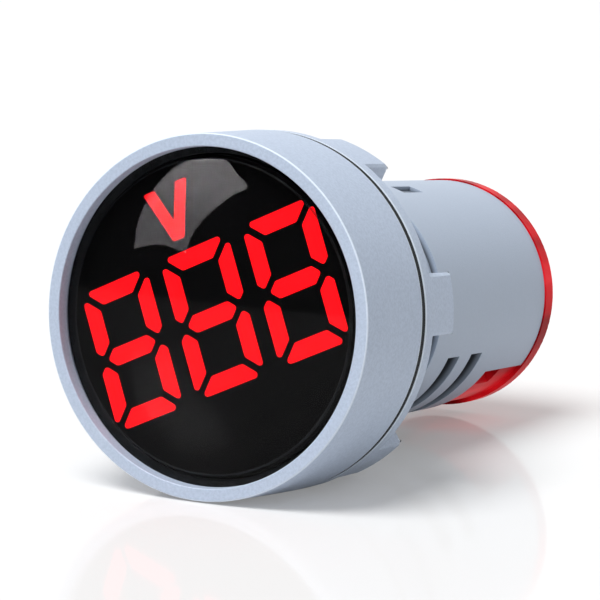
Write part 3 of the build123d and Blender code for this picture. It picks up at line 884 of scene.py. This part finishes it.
def make_screw(node):
    """Terminal screw as one turned grid: a threaded shank and a pan head with a cross recess.

    The recess lowers the head's top by the drive's depth wherever the distance to the cross, the
    smaller of two boxes' distances, is below zero, with a short slope at its walls.
    """
    low, high = box_mm(node)
    centre = (low + high) / 2
    tip, top = low[1], high[1]
    under = top - HEAD_HEIGHT
    head = (high[0] - low[0]) / 2
    shank = np.arange(tip + SCREW_THREAD, under, SCREW_PITCH / SCREW_POINTS)
    shank_line = np.stack([np.full(len(shank), SHANK_RADIUS), shank], axis=-1)
    flat = head - HEAD_ROUND
    bend = np.linspace(0, math.pi / 2, HEAD_ROUND_POINTS)
    bend_line = (flat, top - HEAD_ROUND) + HEAD_ROUND * np.stack([np.cos(bend), np.sin(bend)], axis=-1)
    inwards = np.linspace(flat, 0, HEAD_TOP_POINTS)[1:]
    top_line = np.stack([inwards, np.full(len(inwards), top)], axis=-1)
    start = [(0, tip), (SHANK_RADIUS - SCREW_THREAD, tip)]
    neck = [(SHANK_RADIUS, under), (head, under)]
    profile = np.vstack([start, shank_line, neck, bend_line, top_line])
    angles = np.linspace(-180, 180, SCREW_SIDES, endpoint=False)
    grid = turned(profile, angles)
    rows = slice(len(start), len(start) + len(shank))
    thread = (SCREW_PITCH, SCREW_THREAD, tip, under, SCREW_PITCH)
    cut = thread_depth(shank[:, None], angles[None, :], *thread)
    grid[rows, :, 0::2] *= (1 - cut / SHANK_RADIUS)[:, :, None]
    across, upright = np.abs(grid[..., 0]), np.abs(grid[..., 2])
    long_bar = np.maximum(across - DRIVE_LENGTH / 2, upright - DRIVE_WIDTH / 2)
    tall_bar = np.maximum(across - DRIVE_WIDTH / 2, upright - DRIVE_LENGTH / 2)
    inside = np.clip(0.5 - np.minimum(long_bar, tall_bar) / DRIVE_SLOPE, 0, 1)
    on_top = grid[..., 1] > top - HEAD_ROUND / 2
    grid[..., 1] -= DRIVE_DEPTH * inside * on_top
    grid += np.array([centre[0], 0, centre[2]])
    shell = (grid.reshape(-1, 3), grid_faces(*grid.shape[:2], wrap=True))
    make_piece(node.replace("terminal_", ""), [shell], node)


def stage_mesh(name, vertices, faces, shader, camera_sees=True):
    """Mesh of the studio with a shader made from its tree; where unseen, it is only mirrored."""
    mesh = bpy.data.meshes.new(name)
    mesh.from_pydata(vertices, [], faces)
    prop = bpy.data.objects.new(name, mesh)
    bpy.context.scene.collection.objects.link(prop)
    material = bpy.data.materials.new(name)
    tree = Tree(material)
    tree.finish(shader(tree))
    mesh.materials.append(material)
    if not camera_sees:
        prop.visible_camera = False
        prop.visible_diffuse = False
        prop.visible_shadow = False
        prop.visible_transmission = False
    return prop


def floor_shader(tree):
    """Pale, slightly glossy floor, seen from above only."""
    grey, sheen = colour(*[FLOOR_GREY] * 3), colour(*[FLOOR_SHEEN] * 3)
    diffuse = tree.add("ShaderNodeBsdfDiffuse", None, {"Color": grey})
    gloss_inputs = {"Color": sheen, "Roughness": FLOOR_ROUGHNESS}
    gloss = tree.add("ShaderNodeBsdfGlossy", None, gloss_inputs)
    pale = tree.add("ShaderNodeMixShader", None, {0: FLOOR_GLOSS, 1: diffuse, 2: gloss})
    glow_inputs = {"Color": WHITE, "Strength": tree.light_path(*SEEN_RAYS) * FLOOR_GLOW}
    glow = tree.add("ShaderNodeEmission", None, glow_inputs)
    lit = tree.add("ShaderNodeAddShader", None, {0: pale, 1: glow})
    clear = tree.add("ShaderNodeBsdfTransparent")
    behind = tree.add("ShaderNodeNewGeometry", output="Backfacing")
    return tree.add("ShaderNodeMixShader", None, {0: behind, 1: lit, 2: clear})


def make_floor():
    """Large square floor under the meter."""
    side = FLOOR_UP.orthogonal().normalized()
    ahead = FLOOR_UP.cross(side)
    middle = FLOOR_UP * -FLOOR_DROP
    signs = ((-1, -1), (1, -1), (1, 1), (-1, 1))
    corners = [middle + (side * a + ahead * b) * FLOOR_HALF for a, b in signs]
    floor = stage_mesh("floor", corners, [(0, 1, 2, 3)], floor_shader)
    if floor.data.polygons[0].normal.dot(FLOOR_UP) < 0:
        floor.data.flip_normals()


def mirrored_place(azimuth, elevation, distance):
    """Points at a distance from the window, by degrees sideways and above the way that it mirrors."""
    window = np.array(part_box("lens")[0]) * (0, 1, 0)
    sight = Vector(window) - Vector(CAMERA_PLACE)
    sight.y = -sight.y
    up = np.array(MIRROR_UP)
    ahead = np.array(sight) - up * np.dot(sight, up)
    ahead /= np.linalg.norm(ahead)
    side = np.cross(ahead, up)
    azimuth, elevation = np.radians(azimuth), np.radians(elevation)
    level = (np.cos(azimuth) * np.cos(elevation))[..., None] * ahead
    aside = (np.sin(azimuth) * np.cos(elevation))[..., None] * side
    return window + distance * (level + aside + np.sin(elevation)[..., None] * up)


def make_flag():
    """Black card that the window mirrors above the floor's far edge, as in a dark studio."""
    columns = np.linspace(-FLAG_HALF_WIDTH, FLAG_HALF_WIDTH, FLAG_COLUMNS)
    azimuth, elevation = np.meshgrid(columns, np.linspace(FLAG_FOOT, FLAG_TOP, FLAG_ROWS))
    points = mirrored_place(azimuth, elevation, FLAG_DISTANCE).reshape(-1, 3)
    faces = grid_faces(FLAG_ROWS, FLAG_COLUMNS)

    def shader(tree):
        return tree.add("ShaderNodeBsdfDiffuse", None, {"Color": colour(0.0, 0.0, 0.0)})
    stage_mesh("flag", points.tolist(), faces.tolist(), shader, camera_sees=False)


def make_softbox():
    """Softbox, brighter at its top, that the window mirrors: a grid between two curves, in degrees.

    The inner curve leans away with height by a linear and a square share of the height above its
    foot. The outer one is an arc of a circle and then a line down to the inner curve's top. The foot
    between them is bowed upwards by a parabola that fades out with height.
    """
    columns = SOFTBOX_ARC_POINTS + SOFTBOX_LINE_POINTS
    rise = np.linspace(0, SOFTBOX_RISE, columns)
    aside = SOFTBOX_SIDE - SOFTBOX_LEAN * rise - SOFTBOX_CURVE * rise ** 2
    inner = np.stack([aside, SOFTBOX_FOOT + rise], axis=-1)
    turn = np.radians(np.linspace(*SOFTBOX_ARC_SPAN, SOFTBOX_ARC_POINTS))
    spokes = np.stack([np.cos(turn), np.sin(turn)], axis=-1)
    arc = SOFTBOX_ARC_CENTRE + SOFTBOX_ARC_RADIUS * spokes
    line_end = inner[-1] + (0, SOFTBOX_TOP_GAP)
    outer = np.vstack([arc, np.linspace(arc[-1], line_end, SOFTBOX_LINE_POINTS + 1)[1:]])
    share = np.linspace(0, 1, SOFTBOX_ROWS)[:, None, None]
    grid = inner + (outer - inner) * share
    fade = np.linspace(1, 0, columns)[None, :, None] ** SOFTBOX_BOW_FADE
    grid[..., 1:] += SOFTBOX_BOW * share * (1 - share) * fade
    points = mirrored_place(grid[..., 0], grid[..., 1], SOFTBOX_DISTANCE).reshape(-1, 3)
    faces = grid_faces(SOFTBOX_ROWS, columns)

    def shader(tree):
        height = sum(axis * part for axis, part in zip(tree.axes(), MIRROR_UP))
        strength = height.ramp(*SOFTBOX_FADE) * SOFTBOX_TOP_STRENGTH + SOFTBOX_STRENGTH
        inputs = {"Color": colour(1.0, 0.96, 1.0), "Strength": strength}
        return tree.add("ShaderNodeEmission", None, inputs)
    stage_mesh("softbox", points.tolist(), faces.tolist(), shader, camera_sees=False)


def make_world():
    """Even white surround, full white where it is seen or mirrored and dimmer where it lights."""
    world = bpy.data.worlds.new("surround")
    bpy.context.scene.world = world
    tree = Tree(world)
    strength = tree.light_path(*SEEN_RAYS) * (1 - SURROUND_LIGHT) + SURROUND_LIGHT
    background = tree.add("ShaderNodeBackground", None, {"Color": WHITE, "Strength": strength})
    tree.finish(background, "ShaderNodeOutputWorld")


def make_lamp(name, source, strength, spread):
    """Distant soft lamp that shines from the given direction."""
    lamp = bpy.data.lights.new(name, "SUN")
    lamp.energy = strength
    lamp.angle = spread
    lamp_object = bpy.data.objects.new(name, lamp)
    lamp_object.rotation_mode = "QUATERNION"
    lamp_object.rotation_quaternion = source.to_track_quat("Z", "Y")
    bpy.context.scene.collection.objects.link(lamp_object)


def make_camera():
    """Camera at the photograph's viewing angle."""
    camera = bpy.data.cameras.new("camera")
    camera.sensor_width = SENSOR
    camera.lens = CAMERA_LENS
    camera.clip_start = CLIP_NEAR
    camera.clip_end = CLIP_FAR
    camera_object = bpy.data.objects.new("camera", camera)
    camera_object.location = CAMERA_PLACE
    camera_object.rotation_mode = "QUATERNION"
    camera_object.rotation_quaternion = Quaternion(CAMERA_TURN)
    bpy.context.scene.collection.objects.link(camera_object)
    bpy.context.scene.camera = camera_object


make_bezel()
make_window()
make_barrel()
make_nut()
make_screw("terminal_screw_left")
make_screw("terminal_screw_right")

make_camera()
make_floor()
make_flag()
make_softbox()
make_world()
make_lamp("key", KEY_FROM, KEY_STRENGTH, KEY_SPREAD)
make_lamp("fill", FILL_FROM, FILL_STRENGTH, FILL_SPREAD)
bpy.context.scene.view_settings.view_transform = "Standard"
